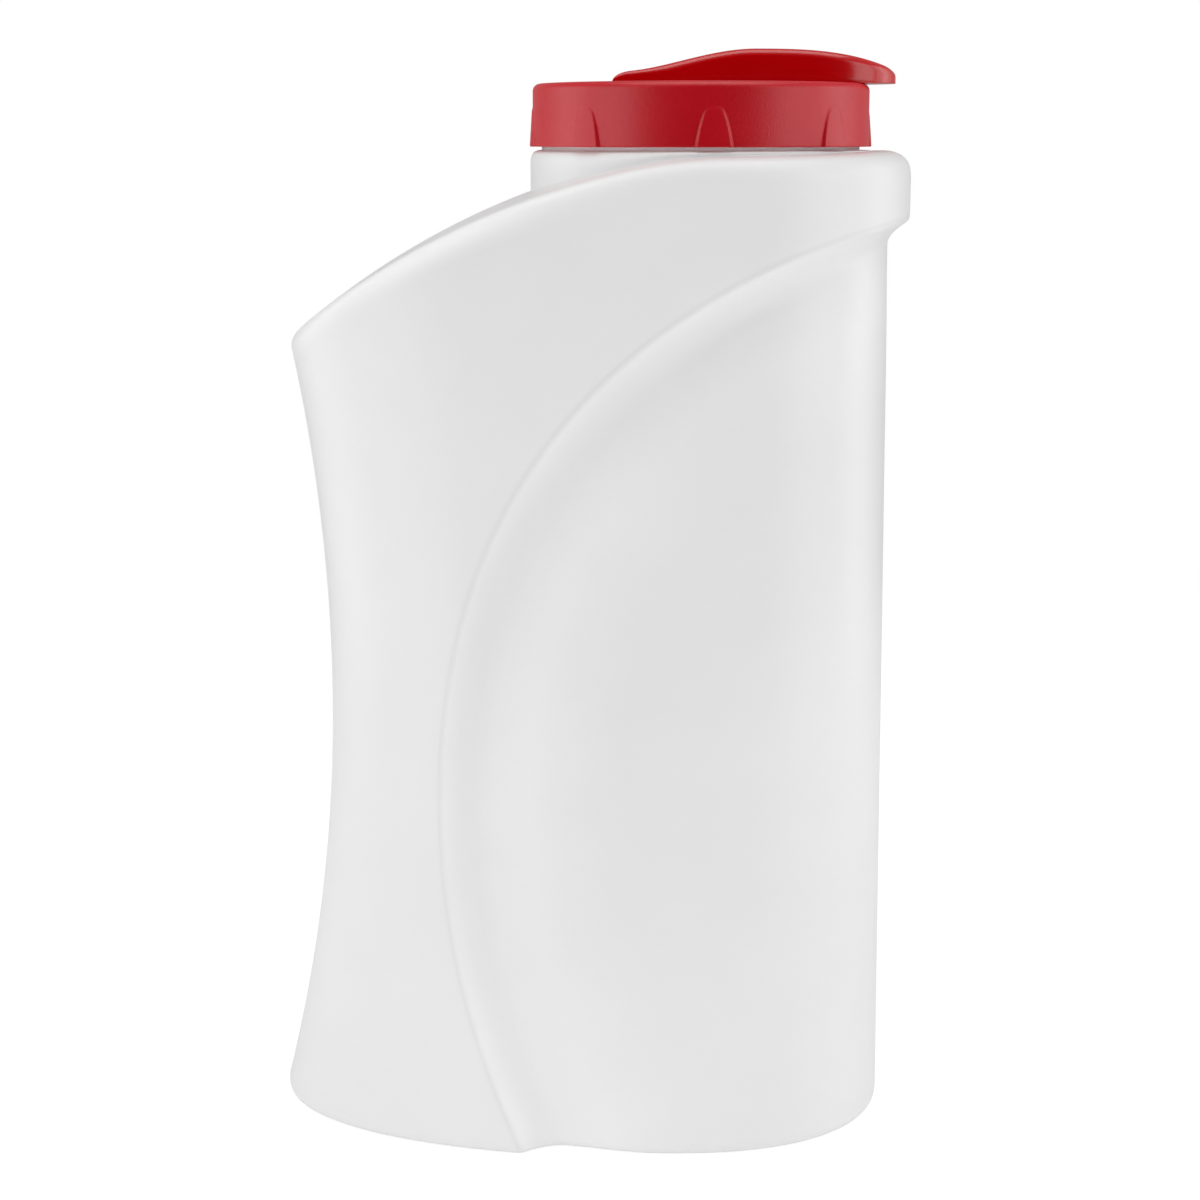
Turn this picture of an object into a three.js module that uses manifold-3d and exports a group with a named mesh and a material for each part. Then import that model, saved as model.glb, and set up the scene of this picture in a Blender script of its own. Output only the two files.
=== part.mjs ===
// A slim water bottle for a refrigerator door: a blow-moulded body with a grip at one end and a
// recessed panel on each side, a red screw cap, and the flip cover that lies shut on the cap.
// Lengths are in millimetres. X runs from the grip end to the pouring end, Y from the front face
// to the back face, and Z up from the foot.
import * as THREE from 'three';
import { mergeVertices } from 'three/addons/utils/BufferGeometryUtils.js';
import Module from 'manifold-3d';

// Body, seen from above: a rounded oval, blunter at the pouring end
const ovalX = 19.7;               // where the two faces are furthest apart
const halfDepth = 48.2;           // of the shoulder and the grip
const panelHalfDepth = 45.3;      // of the recessed panels
const gripPower = 2.1;            // an ellipse has the power 2, and a blunter oval more
const endPower = 2.3;

// Body, seen from the front
const waistX = -63.3;             // the grip end is hollowed by one large arc
const waistZ = 106.5;
const waistRadius = 416;
const bandX = 76.05;              // pouring end of the shoulder band
const endFootX = 72.4;            // the pouring end below the band leans in a little
const endTopX = 70.9;
const shoulderZ = 234.15;         // the shoulder climbs on an arc until it is level
const shoulderBend = 1.2;
const arcX = 51;
const arcZ = 236.3;
const arcRadius = 185.7;
const shoulderCrown = 1.2;        // how far the top falls towards the faces
const edgeRadius = { grip: 2.4, face: 4.7, end: 6 };
const footRadius = 3.5;
const footWidth = 6;              // the flat ring that the bottle stands on
const baseRise = 1.8;             // and the hollow inside it
const baseSlope = 5;

// Crease: the edge where the shoulder and the grip stand proud of the recessed panel
const creaseFoot = new THREE.Vector2(-14.8, 0);
const creaseFootTurn = new THREE.Vector2(-20.6, 15);  // it leaves its foot towards here
const creaseMiddle = new THREE.Vector2(-34, 84);
const creaseEndTurn = new THREE.Vector2(35.4, 213.2);  // and comes to its end from here
const creaseEnd = new THREE.Vector2(bandX, 218.2);
const middlePull = { below: 43.3, above: 95.9 };  // how strongly it runs on upright at its middle
const edgeRounding = 1.2;
const stepRun = { face: 9.6, end: 5.6 };  // from the edge to the bottom of the hollowed step
const coveDepth = 3.4;            // extra depth of the hollow on the faces, for the fingers
const coveStart = 8;
const coveEnd = 32;
const coveTurn = 60;              // degrees from the pouring end where that depth is reached

// Collar and neck, round, under the cap
const capX = 26.4;
const collarRadius = 40.1;
const collarZ = 234.25;
const collarRound = { across: 2.5, up: 2.9 };
const collarFillet = 0.7;
const collarShare = { fillet: 0.3, round: 0.6 };  // of its height, where the collar is low
const neckRadius = 37.5;
const clearance = 0.3;            // left between pieces that fit together

// Cap: a cup with eight grip lugs round its skirt
const capRadius = 39.6;
const capLowZ = 235;
const capTopZ = 249.5;
const capRound = 1.7;
const capWall = 2;
const lugCount = 8;
const firstLug = -87.9;           // degrees round from the pouring end
const lugHeight = 9.4;
const lugHalfWidth = 4.4;
const lugDepth = { low: 0.75, high: 0.15 };
const lugPower = 3;               // bluntness of the lug's rounded top

// Flip cover: an arched tongue hinged near the middle of the cap, its nose past the cap's edge
const coverStart = 5.4;
const coverEnd = 72.2;
const coverHalfWidth = 15;
const coverLowZ = capTopZ + clearance;
const coverHingeRun = 4.5;        // the length over which the hinge end rises
const coverHingeZ = 252.1;
const coverCrestX = 38.5;
const coverCrestZ = 257.2;
const coverNoseZ = 252.3;
const coverBluntRun = 3.5;        // the length over which the nose is rounded off
const coverTipZ = 251.2;
const coverRise = 0.91;           // how early the top rises, and how late it falls to the nose
const coverFall = 2.75;
const coverRound = 1.5;
const coverRoundShare = { up: 0.45, across: 0.6 };  // of the height and half width, where small
const coverNoseRun = 24;          // the length over which the nose narrows
const coverNosePower = 2.6;
const coverNoseFlat = 0.4;        // the flat left at its tip

// Fineness of the facets
const endColumns = 12;
const gripColumns = 14;
const creaseColumns = [21, 14, 9, 5.5, 3, 1, -0.7, -3, -7];  // offsets from the crease
const crowdedRun = 45;            // they close up when the pouring end is nearer than this
const lastTurnX = 32;             // the columns follow the crease up to here, and then the rings do
const beltZ = 228.4;              // top of the wall along the part of the crease that rings follow
const lowRings = 15;
const leanRings = 9;
const leanShare = 0.74;
const stepRings = [0.95, 0.965, 0.977, 0.986, 0.994, 1];  // shares of the way up to the crease
const topRings = [0.05, 0.12, 0.24, 0.44, 0.7, 1];        // and from it to the shoulder's edge
const creaseSteps = 150;
const settlingPasses = 12;
const shoulderSteps = 4;
const roundSteps = 4;
const capFacets = 80;
const lugSteps = 10;
const coverStations = 26;
const coverCrowding = 1.25;       // the stations lie closer together towards the nose
const coverRoundSteps = 3;

const frosted = new THREE.MeshStandardMaterial({ color: 0xe9ebec, roughness: 0.42, metalness: 0 });
const grainedRed = new THREE.MeshStandardMaterial({ color: 0xbd1f2c, roughness: 0.5, metalness: 0 });
const glossyRed = new THREE.MeshStandardMaterial({ color: 0xb3101d, roughness: 0.2, metalness: 0 });

const smooth = (value) => THREE.MathUtils.smoothstep(value, 0, 1);
const mix = THREE.MathUtils.lerp;

// Turns loops of equal count into a closed skin. The first and last loops shrink to a point each.
function skin(loops) {
  const columns = loops[0].length;
  const geometry = new THREE.LatheGeometry(loops.map((loop, i) => new THREE.Vector2(1, i)), columns);
  const position = geometry.getAttribute('position');
  for (let column = 0; column <= columns; column += 1) {
    loops.forEach((loop, i) => {
      const { x, y, z } = loop[column % columns];
      position.setXYZ(column * loops.length + i, x, y, z);
    });
  }
  return weld(geometry);
}

// Merges the shared corners and drops the triangles that have shrunk to nothing.
function weld(geometry) {
  geometry.deleteAttribute('normal');
  geometry.deleteAttribute('uv');
  const merged = mergeVertices(geometry, 1e-4);
  const corners = merged.index.array;
  const kept = [];
  for (let i = 0; i < corners.length; i += 3) {
    const [a, b, c] = corners.slice(i, i + 3);
    if (a !== b && b !== c && c !== a) kept.push(a, b, c);
  }
  merged.setIndex(kept);
  return merged;
}

// Outline of the body

function gripX(z) {
  return waistX - waistRadius + Math.sqrt(waistRadius ** 2 - (z - waistZ) ** 2);
}

function endX(z) {
  return mix(endFootX, endTopX, z / creaseEnd.y);
}

function shoulderHeight(x, y) {
  const run = Math.max(arcX - x, 0);
  const arc = arcZ - arcRadius + Math.sqrt(arcRadius ** 2 - run ** 2);
  const level = (arc + shoulderZ - Math.hypot(arc - shoulderZ, shoulderBend)) / 2;
  return level - shoulderCrown * (y / halfDepth) ** 2;
}

// A point of the oval at an angle from the pouring end, and the direction out of it there.
function oval(angle, left, right, depth) {
  const towardsEnd = Math.cos(angle) > 0;
  const power = towardsEnd ? endPower : gripPower;
  const reach = towardsEnd ? right - ovalX : ovalX - left;
  const along = Math.abs(Math.cos(angle)) ** (2 / power);
  const across = Math.abs(Math.sin(angle)) ** (2 / power);
  const sign = Math.sign(Math.cos(angle));
  const out = new THREE.Vector2(sign * along ** (power - 1) / reach, across ** (power - 1) / depth);
  return { x: ovalX + sign * reach * along, y: depth * across, out: out.normalize() };
}

function angleAt(x, z) {
  if (x > ovalX) return Math.acos(((x - ovalX) / (bandX - ovalX)) ** (endPower / 2));
  return Math.PI - Math.acos(((ovalX - x) / (ovalX - gripX(z))) ** (gripPower / 2));
}

// Crease, drawn in the front view

const crease = new THREE.CurvePath();
crease.add(new THREE.CubicBezierCurve(
  creaseFoot,
  creaseFootTurn,
  new THREE.Vector2(creaseMiddle.x, creaseMiddle.y - middlePull.below),
  creaseMiddle,
));
crease.add(new THREE.CubicBezierCurve(
  creaseMiddle,
  new THREE.Vector2(creaseMiddle.x, creaseMiddle.y + middlePull.above),
  creaseEndTurn,
  creaseEnd,
));
const creasePoints = crease.getSpacedPoints(creaseSteps);

function creaseX(z) {
  const next = creasePoints.findIndex((point) => point.y > z);
  if (next < 1) return next === 0 ? creaseFoot.x : creaseEnd.x;
  const [low, high] = [creasePoints[next - 1], creasePoints[next]];
  return mix(low.x, high.x, (z - low.y) / (high.y - low.y));
}

// Height of the part of the crease that leans over towards the pouring end.
function creaseZ(x) {
  const next = creasePoints.findIndex((point) => point.x > x);
  if (next < 0) return creaseEnd.y;
  const [low, high] = [creasePoints[next - 1], creasePoints[next]];
  return mix(low.y, high.y, (x - low.x) / (high.x - low.x));
}

// Distance across the crease, above zero on the panel's side.
function acrossCrease(x, z) {
  const spot = new THREE.Vector2(x, z);
  let nearest = Infinity;
  let side = 1;
  for (let i = 1; i < creasePoints.length; i += 1) {
    const along = creasePoints[i].clone().sub(creasePoints[i - 1]);
    const away = spot.clone().sub(creasePoints[i - 1]);
    const share = THREE.MathUtils.clamp(away.dot(along) / along.lengthSq(), 0, 1);
    const distance = away.sub(along.clone().multiplyScalar(share)).length();
    if (distance < nearest) {
      nearest = distance;
      side = along.cross(spot.clone().sub(creasePoints[i])) > 0 ? -1 : 1;
    }
  }
  return side * nearest;
}

// A point on the body's wall: the proud surface on one side of the crease, the panel on the
// other, and between them a hollowed step, steepest at the edge. On the faces the hollow goes
// deeper than the panel and fades out across it.
function wall(angle, z) {
  const proud = oval(angle, gripX(z), bandX, halfDepth);
  const panel = oval(angle, gripX(z), endX(z), panelHalfDepth);
  const across = acrossCrease(proud.x, z);
  const facing = smooth(angle / THREE.MathUtils.degToRad(coveTurn));
  const past = (across + Math.hypot(across, edgeRounding)) / 2;
  const step = 1 - (1 - Math.min(past / mix(stepRun.end, stepRun.face, facing), 1)) ** 2;
  const fade = smooth((coveEnd - across) / (coveEnd - coveStart));
  const cove = coveDepth * step * fade * facing;
  return {
    x: mix(proud.x, panel.x, step) - proud.out.x * cove,
    y: mix(proud.y, panel.y, step) - proud.out.y * cove,
    z,
    out: proud.out,
  };
}

function edgeAt(angle) {
  const turn = Math.abs(Math.cos(angle));
  return mix(edgeRadius.face, Math.cos(angle) > 0 ? edgeRadius.end : edgeRadius.grip, turn);
}

// The columns of facets follow the crease as it climbs, up to where it lies nearly level.
function columnAngle(column, z) {
  const turnX = Math.min(creaseX(z), lastTurnX);
  const squeeze = Math.min(1, (endX(z) - turnX) / crowdedRun);
  const near = creaseColumns.map((offset) => angleAt(turnX + offset * squeeze, z));
  if (column < endColumns) return near[0] * column / endColumns;
  if (column < endColumns + near.length) return near[column - endColumns];
  const last = near[near.length - 1];
  return mix(last, Math.PI, (column - endColumns - near.length + 1) / gripColumns);
}
const lastColumn = endColumns + creaseColumns.length - 1 + gripColumns;

// The rings of facets, from the foot to the crease or its height, and on to the shoulder's edge.
const rings = [
  ...Array.from({ length: lowRings }, (_, i) => ({ rise: leanShare * i / lowRings, top: 0 })),
  ...Array.from({ length: leanRings }, (_, i) => ({
    rise: mix(leanShare, stepRings[0], i / leanRings),
    top: 0,
  })),
  ...stepRings.map((rise) => ({ rise, top: 0 })),
  ...topRings.map((top) => ({ rise: 1, top })),
];

function wallColumn(column, ring) {
  let spot = { x: ovalX, y: 0 };
  let angle = 0;
  let z = waistZ;
  for (let pass = 0; pass < settlingPasses; pass += 1) {
    angle = columnAngle(column, z);
    const top = shoulderHeight(spot.x, spot.y) - edgeAt(angle);
    const followed = creaseZ(Math.max(spot.x, lastTurnX));
    const belt = (followed - footRadius) / (beltZ - footRadius);
    z = mix(footRadius, top, mix(belt * ring.rise, 1, ring.top));
    spot = wall(angle, z);
  }
  return { ...spot, angle };
}

const inset = (spot, amount, z) => new THREE.Vector3(
  spot.x - spot.out.x * amount,
  spot.y - spot.out.y * amount,
  z,
);

// A rounded corner, drawn as a curve that leaves its first point towards the corner.
function rounded(from, corner, to) {
  return new THREE.QuadraticBezierCurve3(from, corner, to).getPoints(roundSteps);
}

// One column of the body, from the middle of the base up the wall to the middle of the neck.
function bodyColumn(column) {
  const foot = wallColumn(column, rings[0]);
  const lowest = inset(foot, 0, 0);
  const points = [
    new THREE.Vector3(0, 0, baseRise),
    inset(foot, footRadius + footWidth + baseSlope, baseRise),
    inset(foot, footRadius + footWidth, 0),
    ...rounded(inset(foot, footRadius, 0), lowest, inset(foot, 0, footRadius)),
  ];
  for (const ring of rings.slice(1, -1)) {
    const spot = wallColumn(column, ring);
    points.push(inset(spot, 0, spot.z));
  }

  const top = wallColumn(column, rings[rings.length - 1]);
  const onShoulder = (x, y) => new THREE.Vector3(x, y, shoulderHeight(x, y));
  const edge = edgeAt(top.angle);
  const inner = inset(top, edge, 0);
  const rim = onShoulder(inner.x, inner.y);
  points.push(...rounded(inset(top, 0, top.z), onShoulder(top.x, top.y), rim));

  const turn = Math.atan2(rim.y, rim.x - capX);
  const around = (radius, z) => new THREE.Vector3(
    capX + radius * Math.cos(turn),
    radius * Math.sin(turn),
    z,
  );
  const collarFoot = around(collarRadius + collarFillet, 0);
  for (let i = 1; i <= shoulderSteps; i += 1) {
    const { x, y } = rim.clone().lerp(collarFoot, i / shoulderSteps);
    points.push(onShoulder(x, y));
  }
  const base = shoulderHeight(collarFoot.x, collarFoot.y);
  const height = collarZ - base;
  const fillet = Math.min(collarFillet, height * collarShare.fillet);
  const round = Math.min(collarRound.up, height * collarShare.round);
  points.push(
    around(collarRadius, base + fillet),
    ...rounded(
      around(collarRadius, collarZ - round),
      around(collarRadius, collarZ),
      around(collarRadius - collarRound.across, collarZ),
    ),
    around(neckRadius, collarZ),
    around(neckRadius, capTopZ - capWall - clearance),
    new THREE.Vector3(capX, 0, capTopZ - capWall - clearance),
  );
  return points;
}

function bottleGeometry() {
  const front = [];
  for (let column = 0; column <= lastColumn; column += 1) front.push(bodyColumn(column));
  const mirrored = (points) => points.map(({ x, y, z }) => new THREE.Vector3(x, -y, z));
  const back = front.slice(1, -1).reverse();
  const columns = [...front, ...back.map(mirrored)];
  return skin(front[0].map((point, i) => columns.map((points) => points[i])));
}

const wasm = await Module();
wasm.setup();

function solid(geometry) {
  return new wasm.Manifold(new wasm.Mesh({
    numProp: 3,
    vertProperties: new Float32Array(geometry.getAttribute('position').array),
    triVerts: new Uint32Array(geometry.index.array),
  }));
}

function fromSolid(body) {
  const { vertProperties, triVerts } = body.getMesh();
  const geometry = new THREE.BufferGeometry();
  geometry.setAttribute('position', new THREE.BufferAttribute(vertProperties, 3));
  geometry.setIndex(new THREE.BufferAttribute(triVerts, 1));
  return geometry;
}

// Cap, turned about its own axis with its lower edge at zero

const capHeight = capTopZ - capLowZ;

function capCup() {
  const inner = neckRadius + clearance;
  const crown = [];
  for (let i = 0; i <= roundSteps; i += 1) {
    const turn = (Math.PI / 2) * i / roundSteps;
    crown.push(new THREE.Vector2(
      capRadius - capRound + capRound * Math.cos(turn),
      capHeight - capRound + capRound * Math.sin(turn),
    ));
  }
  const profile = [
    new THREE.Vector2(0, capHeight - capWall),
    new THREE.Vector2(inner, capHeight - capWall),
    new THREE.Vector2(inner, 0),
    new THREE.Vector2(capRadius, 0),
    ...crown,
    new THREE.Vector2(0, capHeight),
  ];
  const cup = weld(new THREE.LatheGeometry(profile, capFacets));
  return cup.rotateX(Math.PI / 2);
}

// A grip lug: a tongue-shaped outline on the skirt, proudest at the cap's lower edge.
function lug() {
  const outline = new THREE.Shape();
  outline.moveTo(lugHalfWidth, 0);
  for (let i = 1; i <= lugSteps; i += 1) {
    const across = mix(lugHalfWidth, -lugHalfWidth, i / lugSteps);
    outline.lineTo(across, lugHeight * (1 - Math.abs(across / lugHalfWidth) ** lugPower));
  }
  const depth = capWall;
  const tongue = new THREE.ExtrudeGeometry(outline, { depth, bevelEnabled: false, curveSegments: 1 });
  const position = tongue.getAttribute('position');
  for (let i = 0; i < position.count; i += 1) {
    const z = position.getY(i);
    const proud = mix(lugDepth.low, lugDepth.high, z / lugHeight);
    const outside = position.getZ(i) > depth / 2;
    const radius = outside ? capRadius + proud : capRadius - depth / 2;
    const turn = position.getX(i) / capRadius;
    position.setXYZ(i, radius * Math.cos(turn), radius * Math.sin(turn), z);
  }
  return weld(tongue);
}

function capGeometry() {
  let cap = solid(capCup());
  for (let i = 0; i < lugCount; i += 1) {
    const turn = THREE.MathUtils.degToRad(firstLug + (360 / lugCount) * i);
    cap = cap.add(solid(lug().rotateZ(turn)));
  }
  return fromSolid(cap);
}

// Flip cover, built as sections across X

function coverTop(x) {
  if (x > coverCrestX) {
    const share = (x - coverCrestX) / (coverEnd - coverCrestX);
    const blunt = Math.max(x - coverEnd + coverBluntRun, 0) / coverBluntRun;
    return mix(coverTipZ, mix(coverCrestZ, coverNoseZ, share ** coverFall), Math.sqrt(1 - blunt ** 2));
  }
  const start = coverStart + coverHingeRun / 2;
  const share = Math.max(x - start, 0) / (coverCrestX - start);
  const arch = mix(coverHingeZ, coverCrestZ, smooth(share ** coverRise));
  const short = Math.max(coverStart + coverHingeRun - x, 0) / coverHingeRun;
  return mix(coverLowZ, arch, Math.sqrt(1 - short ** 2));
}

function coverWidth(x) {
  const nose = Math.max(0, (x - coverEnd + coverNoseRun) / coverNoseRun);
  return coverHalfWidth * Math.sqrt(Math.max(1 - nose ** coverNosePower, 0));
}

function coverSection(x) {
  const width = coverWidth(x);
  const top = coverTop(x);
  const height = top - coverLowZ;
  const round = Math.min(coverRound, height * coverRoundShare.up, width * coverRoundShare.across);
  const ring = [new THREE.Vector3(x, 0, coverLowZ), new THREE.Vector3(x, width, coverLowZ)];
  for (let i = 0; i <= coverRoundSteps; i += 1) {
    const turn = (Math.PI / 2) * i / coverRoundSteps;
    ring.push(new THREE.Vector3(
      x,
      width - round + round * Math.cos(turn),
      top - round + round * Math.sin(turn),
    ));
  }
  ring.push(new THREE.Vector3(x, 0, top));
  const other = ring.slice(1, -1).reverse().map((point) => new THREE.Vector3(x, -point.y, point.z));
  return [...ring, ...other];
}

function coverGeometry() {
  const sections = [];
  const count = coverSection(coverStart).length;
  const closing = (x) => new Array(count).fill(new THREE.Vector3(x, 0, coverLowZ));
  sections.push(closing(coverStart));
  for (let i = 0; i <= coverStations; i += 1) {
    const share = 1 - (1 - i / coverStations) ** coverCrowding;
    sections.push(coverSection(mix(coverStart, coverEnd - coverNoseFlat, share)));
  }
  sections.push(closing(coverEnd));
  return skin(sections);
}

const group = new THREE.Group();

const bottle = new THREE.Mesh(bottleGeometry(), frosted);
bottle.name = 'bottle';
group.add(bottle);

const cap = new THREE.Mesh(capGeometry(), grainedRed);
cap.name = 'cap';
cap.position.set(capX, 0, capLowZ);
group.add(cap);

const cover = new THREE.Mesh(coverGeometry(), glossyRed);
cover.name = 'flip_cover';
group.add(cover);

export default group;
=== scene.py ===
import math
import bmesh
import bpy
import numpy as np
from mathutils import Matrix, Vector


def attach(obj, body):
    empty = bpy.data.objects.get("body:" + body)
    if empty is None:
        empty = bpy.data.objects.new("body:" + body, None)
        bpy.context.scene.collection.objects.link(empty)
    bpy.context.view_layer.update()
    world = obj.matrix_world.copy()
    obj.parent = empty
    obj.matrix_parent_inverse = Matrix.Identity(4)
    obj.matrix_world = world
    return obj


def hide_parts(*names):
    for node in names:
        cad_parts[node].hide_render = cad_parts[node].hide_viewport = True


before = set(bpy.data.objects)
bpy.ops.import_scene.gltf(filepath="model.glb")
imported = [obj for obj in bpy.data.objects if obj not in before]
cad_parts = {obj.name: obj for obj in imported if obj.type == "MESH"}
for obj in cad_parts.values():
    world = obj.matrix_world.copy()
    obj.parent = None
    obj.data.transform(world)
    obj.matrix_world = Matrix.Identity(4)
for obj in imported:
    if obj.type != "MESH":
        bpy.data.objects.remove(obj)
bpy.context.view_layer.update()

# Camera: it stands before the front face of the bottle, level with the foot of the cap, and looks
# down a little. The picture is square, and the lens takes in the whole bottle with a narrow margin.
camera_place = (0.00267, -0.580, 0.2377)
camera_pitch = -10.93             # degrees below level
camera_lens = 72.24               # millimetres, on a sensor 36 wide

camera = bpy.data.objects.new("camera", bpy.data.cameras.new("camera"))
camera.data.lens = camera_lens
camera.data.sensor_width = 36
camera.data.clip_start = 0.01
camera.location = camera_place
camera.rotation_euler = (math.radians(90 + camera_pitch), 0, 0)
bpy.context.scene.collection.objects.link(camera)
bpy.context.scene.camera = camera

# Studio: a white tent that is open on the side where the camera stands, with a soft lamp over it and
# three at each side, and a pale floor that fades into its white. A low lamp in front of the bottle
# stands for the light that comes through its thin walls, so it reaches the body alone.
tent_opening = (0.93, 0.5)        # cosines of the angles, from the opening's middle to dark and white
tent_white = 0.34
lamp_aim = (0, 0, 0.13)
lamp_distance = 1.5
lamp_height = 0.3
side_lamps = [(60, 5.7), (95, 4.3), (110, 2.3)]   # degrees round from the camera, watts
side_lamp_size = (0.8, 1.4)
over_lamp = {"place": (0, -0.15, 1.4), "size": (1.4, 0.9), "power": 8.4}
inner_lamp = {"place": (0, -0.8, 0.06), "size": (1.0, 0.3), "power": 2.3}
floor_radius = 0.9
floor_sides = 96
floor_fade = (0.35, 0.8)          # the floor is whole up to the first distance and gone at the second
floor_grey = 0.4
floor_glow = {"seen": 0.75, "cast": 0.44}


def add_node(tree, kind, settings=None, **sockets):
    """A shader node with its settings, its constants and its links. Underscores stand for spaces."""
    node = tree.nodes.new(kind)
    for name, value in (settings or {}).items():
        setattr(node, name, value)
    for name, value in sockets.items():
        key = int(name[1:]) if name[1:].isdigit() else name.replace("_", " ")
        socket = node.inputs[key]
        if isinstance(value, bpy.types.NodeSocket):
            tree.links.new(value, socket)
        else:
            socket.default_value = value
    return node


def light_tent():
    world = bpy.data.worlds.new("white_tent")
    world.use_nodes = True
    tree = world.node_tree
    tree.nodes.clear()
    path = add_node(tree, "ShaderNodeLightPath")
    facing = add_node(tree, "ShaderNodeTexCoord").outputs["Generated"]
    depth = add_node(tree, "ShaderNodeSeparateXYZ", Vector=facing).outputs["Y"]
    wall = add_node(tree, "ShaderNodeMapRange", {"interpolation_type": "SMOOTHSTEP"}, Value=depth,
                    From_Min=-tent_opening[0], From_Max=-tent_opening[1], To_Max=tent_white)
    cast = add_node(tree, "ShaderNodeBackground", Color=(1, 1, 1, 1), Strength=wall.outputs[0])
    seen = add_node(tree, "ShaderNodeBackground", Color=(1, 1, 1, 1), Strength=1.0)
    either = add_node(tree, "ShaderNodeMixShader", s0=path.outputs["Is Camera Ray"],
                      s1=cast.outputs[0], s2=seen.outputs[0])
    add_node(tree, "ShaderNodeOutputWorld", Surface=either.outputs[0])
    bpy.context.scene.world = world


def hang_lamp(name, place, size, power):
    """A soft rectangular lamp that faces the middle of the bottle."""
    lamp = bpy.data.lights.new(name, "AREA")
    lamp.shape = "RECTANGLE"
    lamp.size, lamp.size_y = size
    lamp.energy = power
    holder = bpy.data.objects.new(name, lamp)
    holder.location = place
    holder.rotation_euler = (Vector(lamp_aim) - Vector(place)).to_track_quat("-Z", "Y").to_euler()
    holder.visible_camera = False
    bpy.context.scene.collection.objects.link(holder)
    return holder


def lay_floor():
    sheet = bmesh.new()
    bmesh.ops.create_circle(sheet, cap_ends=True, radius=floor_radius, segments=floor_sides)
    mesh = bpy.data.meshes.new("floor")
    sheet.to_mesh(mesh)
    sheet.free()
    floor = bpy.data.objects.new("floor", mesh)
    bpy.context.scene.collection.objects.link(floor)
    paint = bpy.data.materials.new("pale_floor")
    paint.use_nodes = True
    tree = paint.node_tree
    tree.nodes.clear()
    place = add_node(tree, "ShaderNodeTexCoord").outputs["Object"]
    away = add_node(tree, "ShaderNodeVectorMath", {"operation": "LENGTH"}, s0=place)
    gone = add_node(tree, "ShaderNodeMapRange", {"interpolation_type": "SMOOTHSTEP"},
                    Value=away.outputs["Value"], From_Min=floor_fade[0], From_Max=floor_fade[1])
    path = add_node(tree, "ShaderNodeLightPath")
    glow = add_node(tree, "ShaderNodeMapRange", Value=path.outputs["Is Camera Ray"],
                    To_Min=floor_glow["cast"], To_Max=floor_glow["seen"])
    matt = add_node(tree, "ShaderNodeBsdfDiffuse", Color=(floor_grey, floor_grey, floor_grey, 1))
    shine = add_node(tree, "ShaderNodeEmission", Color=(1, 1, 1, 1), Strength=glow.outputs[0])
    near = add_node(tree, "ShaderNodeAddShader", s0=matt.outputs[0], s1=shine.outputs[0])
    clear = add_node(tree, "ShaderNodeBsdfTransparent")
    either = add_node(tree, "ShaderNodeMixShader", s0=gone.outputs[0], s1=near.outputs[0],
                      s2=clear.outputs[0])
    add_node(tree, "ShaderNodeOutputMaterial", Surface=either.outputs[0])
    mesh.materials.append(paint)


light_tent()
lay_floor()
for turn, power in side_lamps:
    around = math.radians(turn)
    across, along = lamp_distance * math.sin(around), -lamp_distance * math.cos(around)
    hang_lamp(f"left_lamp_{turn}", (-across, along, lamp_height), side_lamp_size, power)
    hang_lamp(f"right_lamp_{turn}", (across, along, lamp_height), side_lamp_size, power)
hang_lamp("over_lamp", over_lamp["place"], over_lamp["size"], over_lamp["power"])
inner_light = hang_lamp("inner_lamp", inner_lamp["place"], inner_lamp["size"], inner_lamp["power"])
inner_light.visible_glossy = False
lit_from_within = bpy.data.collections.new("lit_from_within")
inner_light.light_linking.receiver_collection = lit_from_within
inner_light.light_linking.blocker_collection = lit_from_within
bpy.context.scene.view_settings.view_transform = "Standard"

# Bottle: a slim body of frosted natural polyethylene, blow-moulded in two halves, with a hollowed
# grip end, a proud shoulder that sweeps round a recessed panel on each face, a round collar and a
# neck. The mould's joint shows as a fine raised line. Its sizes here are in millimetres.
mm = 0.001
oval_x = 19.7                     # where the two faces are furthest apart
half_depth = 48.15                # of the shoulder and the grip
panel_half_depth = 45.3           # of the recessed panels
grip_power = 2.1                  # an ellipse has the power 2, and a blunter oval more
end_power = 2.3
waist_x = -63.16                  # the grip end is hollowed by one large arc
waist_z = 106.5
waist_radius = 416
band_x = 75.86                    # pouring end of the shoulder band
end_foot_x = 72.27                # the pouring end below the band leans in a little
end_top_x = 70.77
shoulder_z = 234.15               # the shoulder climbs on an arc until it is level
shoulder_bend = 1.2
arc_x = 51
arc_z = 236.3
arc_radius = 185.7
shoulder_crown = 1.2
edge_radius = {"grip": 2.4, "face": 4.7, "end": 6}
foot_radius = 3.5
foot_width = 6
base_rise = 1.8                   # the middle of the base is hollowed by this much
base_slope = 5                    # and slopes down to the foot over this much
base_slope_pull = (0.35, 0.65)    # how far down the slope its two curves turn
crease_foot = (-14.8, 0)          # the edge where the proud shoulder and grip end
crease_foot_turn = (-20.6, 15)
crease_middle = (-34, 84)
crease_end_turn = (35.4, 213.2)
crease_end = (band_x, 218.2)
middle_pull = {"below": 43.3, "above": 95.9}
edge_rounding = 0.5               # of the edge itself
step_run = {"face": 9.6, "end": 5.6}  # from the edge to the bottom of the hollowed step
cove_depth = 3.4                  # extra depth of the hollow on the faces, for the fingers
cove_start = 8
cove_end = 32
cove_turn = 60                    # degrees from the pouring end where that depth is reached
cap_x = 26.4
cap_low_z = 235
cap_top_z = 249.5
cap_radius = 39.6
collar_radius = 40.1
collar_z = 234.25
collar_round = {"across": 2.5, "up": 2.9}
collar_fillet = 0.7
neck_radius = 37.5
neck_top_z = 247
merge_gap = 1e-7                  # metres, between points that are one point
middle_gap = 1e-6                 # and from the middle plane to a point that lies in it
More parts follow.
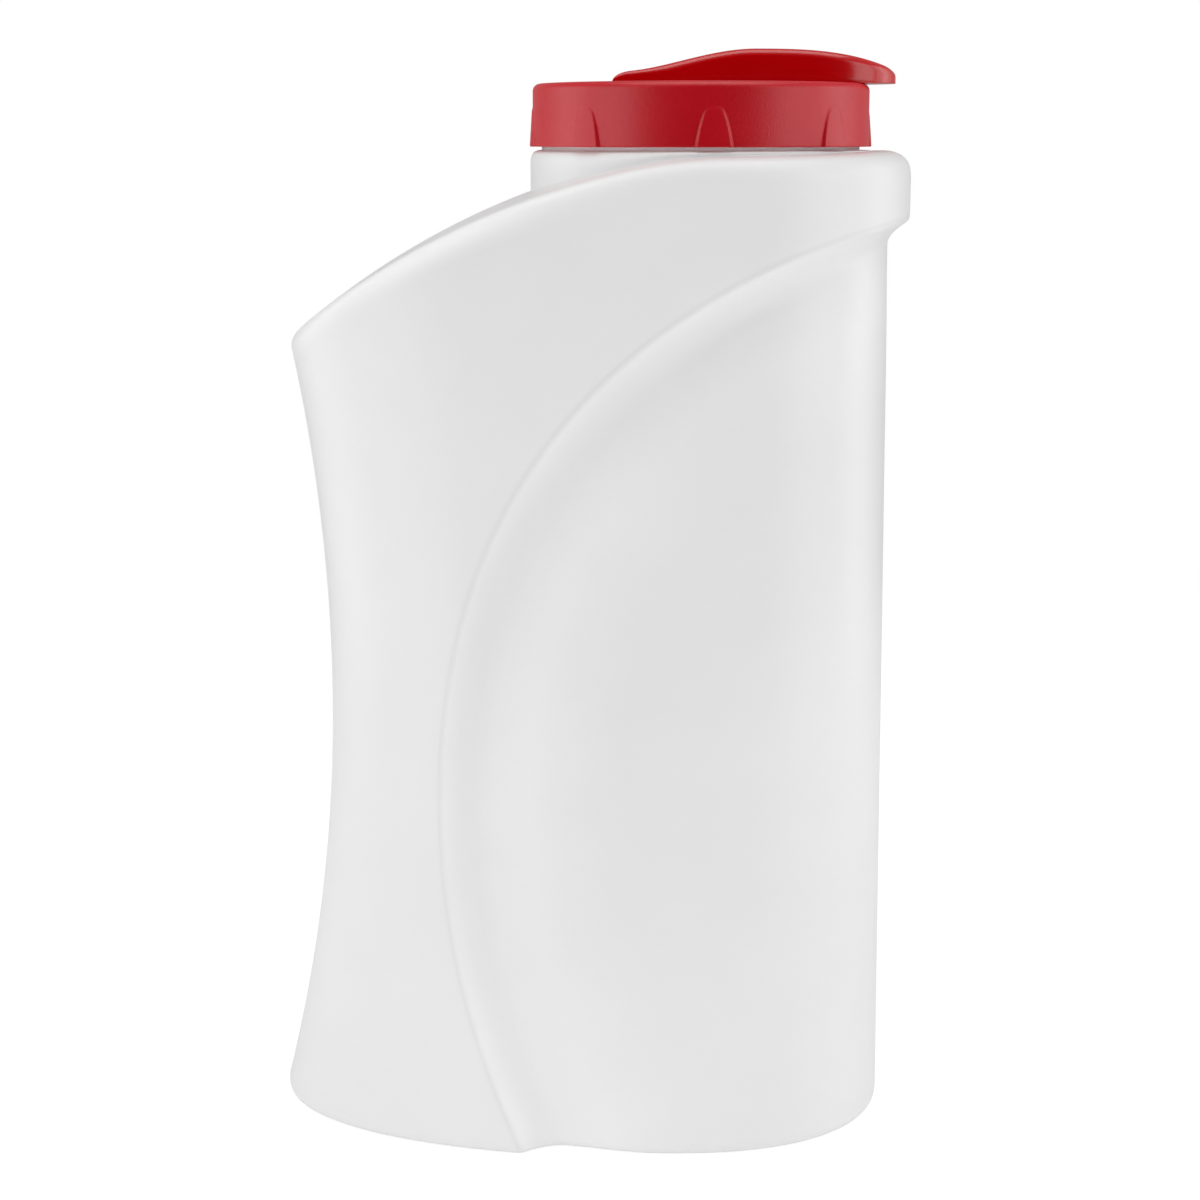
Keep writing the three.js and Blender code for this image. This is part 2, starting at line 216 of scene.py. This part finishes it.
seam_height = 0.13                # the raised line left by the mould's joint
seam_half_width = 0.42
edge_painted_shade = [                    # millimetres past the edge, and the painted shade (below 1) and painted highlight (above 1) of the wall there
    (-1.7, 1.0),
    (-1.0, 0.94),
    (-0.3, 0.99),
    (0.3, 1.045),
    (1.5, 1.03),
    (3.5, 1.005),
    (7, 1.0),
    (11, 1.035),
    (20, 1.035),
    (28, 1.0),
    (40, 0.97),
    (62, 0.97),
    (80, 1.0),
    (100, 1.015),
]
edge_painted_shade_low = 2                # they fade out over the last of the foot's rounding
rim_painted_highlight = [(0, 1.0), (0.5, 1.09), (3, 1.11), (4.5, 1.05), (7, 1.0)]  # painted highlight under the shoulder's sloping rim
rim_highlight_shares = [(-60, 0.4), (-44, 1), (-25, 1.3), (-7, 0.7), (15, 0)]  # how much of that painted highlight shows along x


def mix(low, high, share):
    return low + (high - low) * share


def smooth(share):
    share = min(max(share, 0.0), 1.0)
    return share * share * (3 - 2 * share)


def spread(low, high, count):
    """That many values from low on, stopping short of high."""
    return [mix(low, high, i / count) for i in range(count)]


def grip_x(z):
    return waist_x - waist_radius + math.sqrt(waist_radius ** 2 - (z - waist_z) ** 2)


def end_x(z):
    return mix(end_foot_x, end_top_x, z / crease_end[1])


def shoulder_height(x, y):
    run = max(arc_x - x, 0)
    arc = arc_z - arc_radius + math.sqrt(arc_radius ** 2 - run ** 2)
    level = (arc + shoulder_z - math.hypot(arc - shoulder_z, shoulder_bend)) / 2
    return level - shoulder_crown * (y / half_depth) ** 2


def oval(angle, left, right, depth):
    """A point of the plan at an angle from the pouring end, and the direction out of it."""
    towards_end = math.cos(angle) > 0
    power = end_power if towards_end else grip_power
    reach = right - oval_x if towards_end else oval_x - left
    along = abs(math.cos(angle)) ** (2 / power)
    across = abs(math.sin(angle)) ** (2 / power)
    sign = 1 if towards_end else -1
    out = Vector((sign * along ** (power - 1) / reach, across ** (power - 1) / depth))
    return oval_x + sign * reach * along, depth * across, out.normalized()


def angle_at(x, z):
    if x > oval_x:
        return math.acos(min((x - oval_x) / (band_x - oval_x), 1) ** (end_power / 2))
    return math.pi - math.acos(min((oval_x - x) / (oval_x - grip_x(z)), 1) ** (grip_power / 2))


def bend(start, first, second, end, steps):
    """Points along a cubic curve."""
    shares = np.linspace(0, 1, steps + 1)[:, None]
    start, first, second, end = map(np.array, (start, first, second, end))
    back = 1 - shares
    return (start * back ** 3 + 3 * first * back ** 2 * shares
            + 3 * second * back * shares ** 2 + end * shares ** 3)


crease_steps = {"low": 60, "high": 160}
crease_low = bend(
    crease_foot,
    crease_foot_turn,
    (crease_middle[0], crease_middle[1] - middle_pull["below"]),
    crease_middle,
    crease_steps["low"],
)
crease_high = bend(
    crease_middle,
    (crease_middle[0], crease_middle[1] + middle_pull["above"]),
    crease_end_turn,
    crease_end,
    crease_steps["high"],
)
crease = np.vstack((crease_low, crease_high[1:]))
crease_runs = np.diff(crease, axis=0)
crease_squares = (crease_runs ** 2).sum(1)


def across_crease(x, z):
    """Distance across the crease, above zero on the panel's side."""
    away = np.array((x, z)) - crease[:-1]
    share = np.clip((away * crease_runs).sum(1) / crease_squares, 0, 1)
    gap = away - crease_runs * share[:, None]
    distance = np.hypot(gap[:, 0], gap[:, 1])
    i = distance.argmin()
    proud = crease_runs[i, 0] * away[i, 1] - crease_runs[i, 1] * away[i, 0] > 0
    return -distance[i] if proud else distance[i]


def wall(angle, z):
    """A point on the wall: the proud surface, the panel, or the step and hollow between them."""
    proud_x, proud_y, out = oval(angle, grip_x(z), band_x, half_depth)
    panel_x, panel_y, _ = oval(angle, grip_x(z), end_x(z), panel_half_depth)
    across = across_crease(proud_x, z)
    facing = smooth(angle / math.radians(cove_turn))
    past = (across + math.hypot(across, edge_rounding)) / 2
    step = 1 - (1 - min(past / mix(step_run["end"], step_run["face"], facing), 1)) ** 2
    fade = smooth((cove_end - across) / (cove_end - cove_start))
    cove = cove_depth * step * fade * facing
    return mix(proud_x, panel_x, step) - out.x * cove, mix(proud_y, panel_y, step) - out.y * cove, out


def edge_at(angle):
    side = "end" if math.cos(angle) > 0 else "grip"
    return mix(edge_radius["face"], edge_radius[side], abs(math.cos(angle)))


# Columns of the mesh, from the middle of the pouring end round to the middle of the grip end
seam_spots = (0, 0.14, 0.28, seam_half_width)
seam_edge = 1.0
end_columns = 34
crease_columns = spread(24, 12, 6) + spread(12, 7, 8) + spread(7, 2, 7) + spread(2, -1.6, 16)
crease_columns += spread(-1.6, -8, 7)
grip_columns = 40
crowded_run = 45
last_turn_x = 32
belt_z = 228.4
column_count = len(seam_spots) * 2 + end_columns + len(crease_columns) + grip_columns


def seam_angle(spot, power):
    return math.asin((spot / half_depth) ** (power / 2))


def column_angle(column, z):
    if column < len(seam_spots):
        return seam_angle(seam_spots[column], end_power)
    column -= len(seam_spots)
    turn_x = min(np.interp(z, crease[:, 1], crease[:, 0]), last_turn_x)
    squeeze = min(1, (end_x(z) - turn_x) / crowded_run)
    if column < end_columns:
        first = angle_at(turn_x + crease_columns[0] * squeeze, z)
        return mix(seam_angle(seam_edge, end_power), first, column / end_columns)
    column -= end_columns
    if column < len(crease_columns):
        return angle_at(turn_x + crease_columns[column] * squeeze, z)
    column -= len(crease_columns)
    if column < grip_columns:
        last = angle_at(turn_x + crease_columns[-1] * squeeze, z)
        side = math.pi - seam_angle(seam_edge, grip_power)
        return mix(last, side, (column + 1) / grip_columns)
    return math.pi - seam_angle(seam_spots[len(seam_spots) - 1 - (column - grip_columns)], grip_power)


# Rings up the wall, as shares of the way to the crease or its height, and from there to the edge
wall_rings = [(share, 0) for share in spread(0, 0.84, 60) + spread(0.84, 0.955, 12)]
wall_rings += [(share, 0) for share in spread(0.955, 0.99, 14) + spread(0.99, 1, 10)]
wall_rings += [(1, share) for share in spread(0, 0.1, 8) + spread(0.1, 0.4, 7)]
wall_rings += [(1, share) for share in spread(0.4, 1, 8) + [1]]
settling_rounds = 5
base_rings = spread(0.15, 1, 8)
foot_steps = 9
edge_steps = 10
top_rings = 16
collar_steps = {"foot": 4, "top": 10}
neck_rings = (0.05, 0.5, 1)


def wall_point(column, ring, z):
    """Settles the column's angle and the ring's height together, starting from a height near it."""
    x, y, out = wall(column_angle(column, z), z)
    for _ in range(settling_rounds):
        angle = column_angle(column, z)
        top = shoulder_height(x, y) - edge_at(angle)
        followed = np.interp(max(x, last_turn_x), crease_high[:, 0], crease_high[:, 1])
        belt = (followed - foot_radius) / (belt_z - foot_radius)
        z = mix(foot_radius, top, mix(belt * ring[0], 1, ring[1]))
        x, y, out = wall(angle, z)
    return x, y, z, out, angle


def rounded(start, corner, end, steps):
    """Points from start to end along a curve that leaves start towards the corner."""
    shares = [i / steps for i in range(steps + 1)]
    return [start * (1 - t) ** 2 + corner * 2 * t * (1 - t) + end * t ** 2 for t in shares]


def seam_lift(y):
    return seam_height * max(0, 1 - (y / seam_half_width) ** 2)


def body_column(column):
    """One column of points, from the middle of the base up the wall to the middle of the neck."""
    x, y, z, out, _ = wall_point(column, wall_rings[0], foot_radius)
    out = Vector((out.x, out.y, 0))
    foot = Vector((x, y, 0)) + out * seam_lift(y)
    inner = foot_radius + foot_width
    slope_top = foot - out * (inner + base_slope) + Vector((0, 0, base_rise))
    slope_foot = foot - out * inner
    middle = slope_top.lerp(slope_foot, 0.5)
    points = [Vector((0, 0, base_rise))]
    points += [points[0].lerp(slope_top, share) for share in base_rings]
    high_turn, low_turn = (slope_top.lerp(slope_foot, share) for share in base_slope_pull)
    points += rounded(slope_top + out * 0.01, high_turn, middle, 3)
    points += rounded(middle, low_turn, slope_foot, 3)[1:]
    points += rounded(foot - out * foot_radius, foot, foot + Vector((0, 0, foot_radius)), foot_steps)
    for ring in wall_rings[1:-1]:
        x, y, z, out, _ = wall_point(column, ring, z)
        lift = seam_lift(y)
        points.append(Vector((x + out.x * lift, y + out.y * lift, z)))

    x, y, z, out, angle = wall_point(column, wall_rings[-1], z)
    out = Vector((out.x, out.y, 0))
    lift = seam_lift(y)
    edge = edge_at(angle)
    rim = Vector((x, y, 0)) - out * edge
    rim.z = shoulder_height(rim.x, rim.y) + lift
    corner = Vector((x, y, shoulder_height(x, y) + lift)) + out * lift
    points += rounded(Vector((x, y, z)) + out * lift, corner, rim, edge_steps)

    turn = math.atan2(rim.y, rim.x - cap_x)

    def around(radius, height):
        return Vector((cap_x + radius * math.cos(turn), radius * math.sin(turn), height))

    collar_foot = around(collar_radius + collar_fillet, 0)
    for share in spread(0, 1, top_rings)[1:] + [1]:
        spot = rim.lerp(collar_foot, share)
        points.append(Vector((spot.x, spot.y, shoulder_height(spot.x, spot.y) + seam_lift(spot.y))))
    base = shoulder_height(collar_foot.x, collar_foot.y)
    height = collar_z - base
    fillet = min(collar_fillet, height * 0.3)
    up = min(collar_round["up"], height * 0.6)
    points += rounded(points[-1].copy(), around(collar_radius + lift, base),
                      around(collar_radius + lift, base + fillet), collar_steps["foot"])[1:]
    for share in (0.33, 0.67):
        points.append(around(collar_radius + lift, mix(base + fillet, collar_z - up, share)))
    points += rounded(
        around(collar_radius + lift, collar_z - up),
        around(collar_radius + lift, collar_z),
        around(collar_radius - collar_round["across"], collar_z),
        collar_steps["top"],
    )
    points.append(around(neck_radius, collar_z))
    points += [around(neck_radius, mix(collar_z, neck_top_z, share)) for share in neck_rings]
    points.append(Vector((cap_x, 0, neck_top_z)))
    return points


def skin_of(columns):
    """A sheet of faces laid over columns of points, with its coincident points merged."""
    sheet = bmesh.new()
    across, up = len(columns) - 1, len(columns[0]) - 1
    bmesh.ops.create_grid(sheet, x_segments=across, y_segments=up, size=0.5)
    for vert in sheet.verts:
        column = round((vert.co.x + 0.5) * across)
        vert.co = columns[column][round((vert.co.y + 0.5) * up)] * mm
    bmesh.ops.remove_doubles(sheet, verts=sheet.verts, dist=merge_gap)
    return sheet


def finish_piece(name, shape, material, node):
    """Turns a shape into a smooth piece in place of a node of the frame."""
    mesh = bpy.data.meshes.new(name)
    shape.to_mesh(mesh)
    shape.free()
    mesh.shade_smooth()
    mesh.materials.append(material)
    piece = bpy.data.objects.new(name, mesh)
    bpy.context.scene.collection.objects.link(piece)
    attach(piece, "root")
    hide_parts(node)
    return piece


def painted_wall_shade(x, y, z):
    """The painted shade and highlight of the milky wall at a spot: a painted dark line just before
    the edge of the panel, a painted light line past it, lighter and darker bands across the panel,
    and a painted highlight under the sloping rim."""
    edge_shade = np.interp(across_crease(x, z), *zip(*edge_painted_shade))
    rim_highlight_here = np.interp(shoulder_height(x, y) - z, *zip(*rim_painted_highlight))
    rim_highlight_amount = np.interp(x, *zip(*rim_highlight_shares))
    return mix(1, edge_shade, smooth(z / edge_painted_shade_low)) * mix(1, rim_highlight_here, rim_highlight_amount)


def mould_body():
    half = skin_of([body_column(column) for column in range(column_count)])
    for vert in half.verts:
        if abs(vert.co.y) < middle_gap:
            vert.co.y = 0
    bmesh.ops.mirror(half, geom=half.verts[:] + half.edges[:] + half.faces[:], axis="Y",
                     merge_dist=middle_gap)
    bmesh.ops.remove_doubles(half, verts=half.verts, dist=merge_gap)
    bmesh.ops.recalc_face_normals(half, faces=half.faces)
    # the wall's painted shade and highlight, stored on every point
    painted_shade_layer = half.verts.layers.float.new("painted_wall_shade")
    for vert in half.verts:
        vert[painted_shade_layer] = painted_wall_shade(*(vert.co / mm))
    return half


specks = ((-31.9, -40.8, 230.2), (8.6, -48, 182.0))
speck_radius = 0.2
neck_blend = 0.2                  # the neck's clearer plastic and its painted light start over this much either side


def frosted_polyethylene():
    """Milky natural plastic, satin, a little uneven in thickness, with two dark specks in it, painted
    shade and highlight along the panel's edge and under the rim, and a neck painted lighter.
    """
    plastic = bpy.data.materials.new("frosted_polyethylene")
    plastic.use_nodes = True
    tree = plastic.node_tree
    tree.nodes.clear()
    place = add_node(tree, "ShaderNodeTexCoord").outputs["Object"]
    height = add_node(tree, "ShaderNodeSeparateXYZ", Vector=place).outputs["Z"]
    clouds = add_node(tree, "ShaderNodeTexNoise", Vector=place, Scale=22, Detail=3, Roughness=0.55)
    tone = add_node(tree, "ShaderNodeValToRGB", Fac=clouds.outputs["Fac"])
    tone.color_ramp.elements[0].position = 0.3
    tone.color_ramp.elements[0].color = (0.805, 0.805, 0.805, 1)
    tone.color_ramp.elements[1].position = 0.7
    tone.color_ramp.elements[1].color = (0.83, 0.83, 0.83, 1)
    neck = add_node(tree, "ShaderNodeMapRange", Value=height,
                    From_Min=(collar_z - neck_blend) * mm, From_Max=(collar_z + neck_blend) * mm)
    # the neck is painted lighter and a little bluer: painted light for the light that comes through
    # the plastic into the shade under the cap
    tone_and_painted_neck_light = add_node(tree, "ShaderNodeMix", {"data_type": "RGBA"}, s0=neck.outputs[0],
                    s6=tone.outputs[0], s7=(0.92, 0.93, 0.94, 1))
    # the wall's painted shade and highlight darken and lighten its colour here
    painted_shade_attribute = add_node(tree, "ShaderNodeAttribute", {"attribute_name": "painted_wall_shade"})
    colour = add_node(tree, "ShaderNodeVectorMath", {"operation": "SCALE"}, s0=tone_and_painted_neck_light.outputs[2],
                      Scale=painted_shade_attribute.outputs["Fac"]).outputs[0]
    for spot in specks:
        away = add_node(tree, "ShaderNodeVectorMath", {"operation": "DISTANCE"}, s0=place,
                        s1=tuple(value * mm for value in spot))
        inside = add_node(tree, "ShaderNodeMapRange", Value=away.outputs["Value"],
                          From_Min=speck_radius * mm, From_Max=3 * speck_radius * mm,
                          To_Min=0.6, To_Max=0)
        colour = add_node(tree, "ShaderNodeMix", {"data_type": "RGBA"}, s0=inside.outputs[0],
                          s6=colour, s7=(0.10, 0.09, 0.08, 1)).outputs[2]
    frost = add_node(tree, "ShaderNodeTexNoise", Vector=place, Scale=2600, Detail=2, Roughness=0.6)
    in_neck = add_node(tree, "ShaderNodeMapRange", Value=neck.outputs[0], To_Min=0.25, To_Max=1)
    deep = add_node(tree, "ShaderNodeMapRange", Value=neck.outputs[0], To_Min=0.0015, To_Max=0.015)
    sheen = add_node(tree, "ShaderNodeMapRange", Value=clouds.outputs["Fac"],
                     From_Min=0.3, From_Max=0.7, To_Min=0.3, To_Max=0.38)
    waves = add_node(tree, "ShaderNodeTexNoise", Vector=place, Scale=45, Detail=2, Roughness=0.5)
    wavy = add_node(tree, "ShaderNodeBump", Height=waves.outputs["Fac"], Strength=0.2,
                    Distance=0.0003)
    grain = add_node(tree, "ShaderNodeBump", Height=frost.outputs["Fac"], Strength=0.12,
                     Distance=0.00006, Normal=wavy.outputs[0])
    surface = add_node(
        tree, "ShaderNodeBsdfPrincipled", Base_Color=colour, Roughness=sheen.outputs[0],
        Normal=grain.outputs[0], IOR=1.5, Specular_IOR_Level=0.4,
        Subsurface_Weight=in_neck.outputs[0], Subsurface_Scale=deep.outputs[0],
        Subsurface_Radius=(1.0, 1.0, 1.0),
    )
    add_node(tree, "ShaderNodeOutputMaterial", Surface=surface.outputs[0])
    return plastic


frosted_body = finish_piece(
    "frosted_body",
    mould_body(),
    frosted_polyethylene(),
    "bottle",
)
lit_from_within.objects.link(frosted_body)

# Cap: a wide screw cap of red polypropylene, injection-moulded with a fine grain on its skirt and
# eight tongue-shaped grip lugs that stand proudest at its lower edge. It is screwed over the neck.
cap_round = 1.7
cap_inner_radius = 37.8
cap_wall = 2
cap_low_edge = {"inside": 0.2, "outside": [(0.25, 0), (0.05, 0.08)]}  # in from the skirt, and up
cap_rim_radii = (36.6, 35.9)      # flat top of the rim, and the shallow step down inside it
cap_step_radii = (35.4, 34.8, 20, 8)
cap_step = 0.45
skirt_rings = 44
rim_steps = 12
lug_count = 8
first_lug = -87.9                 # degrees round from the pouring end
lug_height = 9.4
lug_half_width = 4.4
lug_depth = {"low": 0.75, "high": 0.15}
lug_slope = 0.75                  # width of a lug's sloping side
lug_power = 3
lug_margin = 0.8                  # the fine columns of the mesh reach this far past a lug
lug_columns = 72
plain_columns = 10


def lug_rise(across, z):
    """How far a lug stands off the skirt, at a distance round it from the lug's middle."""
    share = min(abs(across) / lug_half_width, 1)
    top = lug_height * (1 - share ** lug_power)
    if z >= top:
        return 0
    width = lug_half_width * (1 - z / lug_height) ** (1 / lug_power)
    inside = min(width - abs(across), (top - z) * 0.6)
    return mix(lug_depth["low"], lug_depth["high"], z / lug_height) * smooth(inside / lug_slope)


def skirt_column(turn, across):
    """One column of points, from the middle of the cap's inside out round its edge to its top."""
    def at(radius, z):
        return Vector((cap_x + radius * math.cos(turn), radius * math.sin(turn), cap_low_z + z))

    height = cap_top_z - cap_low_z
    points = [Vector((cap_x, 0, cap_low_z + height - cap_wall))]
    points.append(at(cap_inner_radius, height - cap_wall))
    inside, outside = cap_low_edge["inside"], cap_low_edge["outside"]
    points += [at(cap_inner_radius, inside), at(cap_inner_radius + inside, 0)]
    points += [at(cap_radius - inward + lug_rise(across, 0), up) for inward, up in outside]
    for z in spread(outside[0][0], height - cap_round, skirt_rings):
        points.append(at(cap_radius + lug_rise(across, z), z))
    for i in range(rim_steps + 1):
        lean = math.pi / 2 * i / rim_steps
        points.append(at(cap_radius - cap_round + cap_round * math.cos(lean),
                         height - cap_round + cap_round * math.sin(lean)))
    points += [at(radius, height) for radius in cap_rim_radii]
    points += [at(radius, height - cap_step) for radius in cap_step_radii]
    points.append(Vector((cap_x, 0, cap_low_z + height - cap_step)))
    return points


def mould_cap():
    sector = 2 * math.pi / lug_count
    half_sector = sector / 2 * cap_radius
    near = lug_half_width + lug_margin
    spots = spread(-half_sector, -near, plain_columns) + spread(-near, near, lug_columns)
    spots += spread(near, half_sector, plain_columns)
    columns = []
    for lug in range(lug_count):
        middle = math.radians(first_lug) + sector * lug
        columns += [skirt_column(middle + across / cap_radius, across) for across in spots]
    columns.append(columns[0])
    cap = skin_of(columns)
    bmesh.ops.recalc_face_normals(cap, faces=cap.faces)
    return cap


def grained_red():
    """Satin red plastic with the fine grain of a spark-eroded mould."""
    plastic = bpy.data.materials.new("grained_red")
    plastic.use_nodes = True
    tree = plastic.node_tree
    tree.nodes.clear()
    place = add_node(tree, "ShaderNodeTexCoord").outputs["Object"]
    clouds = add_node(tree, "ShaderNodeTexNoise", Vector=place, Scale=60, Detail=3, Roughness=0.5)
    tone = add_node(tree, "ShaderNodeValToRGB", Fac=clouds.outputs["Fac"])
    tone.color_ramp.elements[0].position = 0.3
    tone.color_ramp.elements[0].color = (0.60, 0.001, 0.010, 1)
    tone.color_ramp.elements[1].position = 0.7
    tone.color_ramp.elements[1].color = (0.64, 0.002, 0.013, 1)
    grains = add_node(tree, "ShaderNodeTexNoise", Vector=place, Scale=1900, Detail=2, Roughness=0.55)
    rough = add_node(tree, "ShaderNodeMapRange", Value=grains.outputs["Fac"],
                     From_Min=0.3, From_Max=0.7, To_Min=0.34, To_Max=0.42)
    bumps = add_node(tree, "ShaderNodeBump", Height=grains.outputs["Fac"], Strength=0.35,
                     Distance=0.00012)
    surface = add_node(tree, "ShaderNodeBsdfPrincipled", Base_Color=tone.outputs[0],
                       Roughness=rough.outputs[0], Normal=bumps.outputs[0], IOR=1.5)
    add_node(tree, "ShaderNodeOutputMaterial", Surface=surface.outputs[0])
    return plastic


finish_piece("screw_cap", mould_cap(), grained_red(), "cap")

# Flip cover: an arched tongue of the same red plastic with a polished finish, moulded on its own and
# hinged near the middle of the cap. It lies shut over the spout, and its nose reaches past the cap.
cover_start = 5.4
cover_end = 72.2
cover_half_width = 15
cover_low_z = cap_top_z + 0.02
cover_hinge_run = 4.5
cover_hinge_z = 252.1
cover_crest_x = 38.5
cover_crest_z = 257.2
cover_nose_z = 252.3
cover_blunt_run = 3.5
cover_tip_z = 251.2
cover_rise = 0.91
cover_fall = 2.75
cover_round = 1.9
cover_nose_run = 24
cover_nose_power = 2.6
cover_nose_flat = 0.1
cover_low_edge = 0.15             # bevel of its lower edge
cover_hinge_steps = 14
cover_stations = 110              # crowded towards the nose by a power
cover_crowding = 1.6
cover_edge_steps = 8


def cover_top(x):
    if x > cover_crest_x:
        share = (x - cover_crest_x) / (cover_end - cover_crest_x)
        blunt = max(x - cover_end + cover_blunt_run, 0) / cover_blunt_run
        fall = mix(cover_crest_z, cover_nose_z, share ** cover_fall)
        return mix(cover_tip_z, fall, math.sqrt(1 - blunt ** 2))
    start = cover_start + cover_hinge_run / 2
    share = max(x - start, 0) / (cover_crest_x - start)
    arch = mix(cover_hinge_z, cover_crest_z, smooth(share ** cover_rise))
    short = max(cover_start + cover_hinge_run - x, 0) / cover_hinge_run
    return mix(cover_low_z, arch, math.sqrt(1 - short ** 2))


def cover_width(x):
    nose = max(0, (x - cover_end + cover_nose_run) / cover_nose_run)
    return cover_half_width * math.sqrt(max(1 - nose ** cover_nose_power, 0))


def cover_section(x):
    """Half a section across the cover, from the middle of its underside to the middle of its top."""
    width, top = cover_width(x), cover_top(x)
    height = top - cover_low_z
    edge = min(cover_round, height * 0.45, width * 0.6)
    points = [Vector((x, width * share, cover_low_z)) for share in (0, 0.5)]
    bevel = min(cover_low_edge, height * 0.3)
    low = cover_low_z + bevel
    points += [Vector((x, width - bevel, cover_low_z)), Vector((x, width, low))]
    points += [Vector((x, width, mix(low, top - edge, share))) for share in (0.35, 0.7)]
    for i in range(cover_edge_steps + 1):
        lean = math.pi / 2 * i / cover_edge_steps
        y, z = width - edge + edge * math.cos(lean), top - edge + edge * math.sin(lean)
        points.append(Vector((x, y, z)))
    points += [Vector((x, (width - edge) * share, top)) for share in (0.8, 0.6, 0.4, 0.2, 0)]
    return points


def mould_cover():
    turns = spread(0, math.pi / 2, cover_hinge_steps)[1:]
    places = [cover_start + cover_hinge_run * (1 - math.cos(turn)) for turn in turns]
    for i in range(cover_stations + 1):
        share = 1 - (1 - i / cover_stations) ** cover_crowding
        places.append(mix(cover_start + cover_hinge_run, cover_end - cover_nose_flat, share))
    sections = [cover_section(x) for x in places]
    ends = [[Vector((x, 0, cover_low_z))] * len(sections[0]) for x in (places[0], places[-1])]
    cover = skin_of([ends[0]] + sections + [ends[1]])
    bmesh.ops.mirror(cover, geom=cover.verts[:] + cover.edges[:] + cover.faces[:], axis="Y",
                     merge_dist=middle_gap)
    bmesh.ops.remove_doubles(cover, verts=cover.verts, dist=merge_gap)
    bmesh.ops.recalc_face_normals(cover, faces=cover.faces)
    return cover


def polished_red():
    """The same red, from a polished mould, with a slight unevenness of moulding."""
    plastic = bpy.data.materials.new("polished_red")
    plastic.use_nodes = True
    tree = plastic.node_tree
    tree.nodes.clear()
    place = add_node(tree, "ShaderNodeTexCoord").outputs["Object"]
    clouds = add_node(tree, "ShaderNodeTexNoise", Vector=place, Scale=50, Detail=3, Roughness=0.5)
    tone = add_node(tree, "ShaderNodeValToRGB", Fac=clouds.outputs["Fac"])
    tone.color_ramp.elements[0].position = 0.3
    tone.color_ramp.elements[0].color = (0.60, 0.001, 0.003, 1)
    tone.color_ramp.elements[1].position = 0.7
    tone.color_ramp.elements[1].color = (0.64, 0.001, 0.004, 1)
    smears = add_node(tree, "ShaderNodeTexNoise", Vector=place, Scale=300, Detail=3, Roughness=0.6)
    rough = add_node(tree, "ShaderNodeMapRange", Value=smears.outputs["Fac"],
                     From_Min=0.3, From_Max=0.7, To_Min=0.16, To_Max=0.24)
    bumps = add_node(tree, "ShaderNodeBump", Height=clouds.outputs["Fac"], Strength=0.2,
                     Distance=0.0002)
    surface = add_node(tree, "ShaderNodeBsdfPrincipled", Base_Color=tone.outputs[0],
                       Roughness=rough.outputs[0], Normal=bumps.outputs[0], IOR=1.5,
                       Specular_IOR_Level=0.65)
    add_node(tree, "ShaderNodeOutputMaterial", Surface=surface.outputs[0])
    return plastic


finish_piece("flip_cover_shell", mould_cover(), polished_red(), "flip_cover")
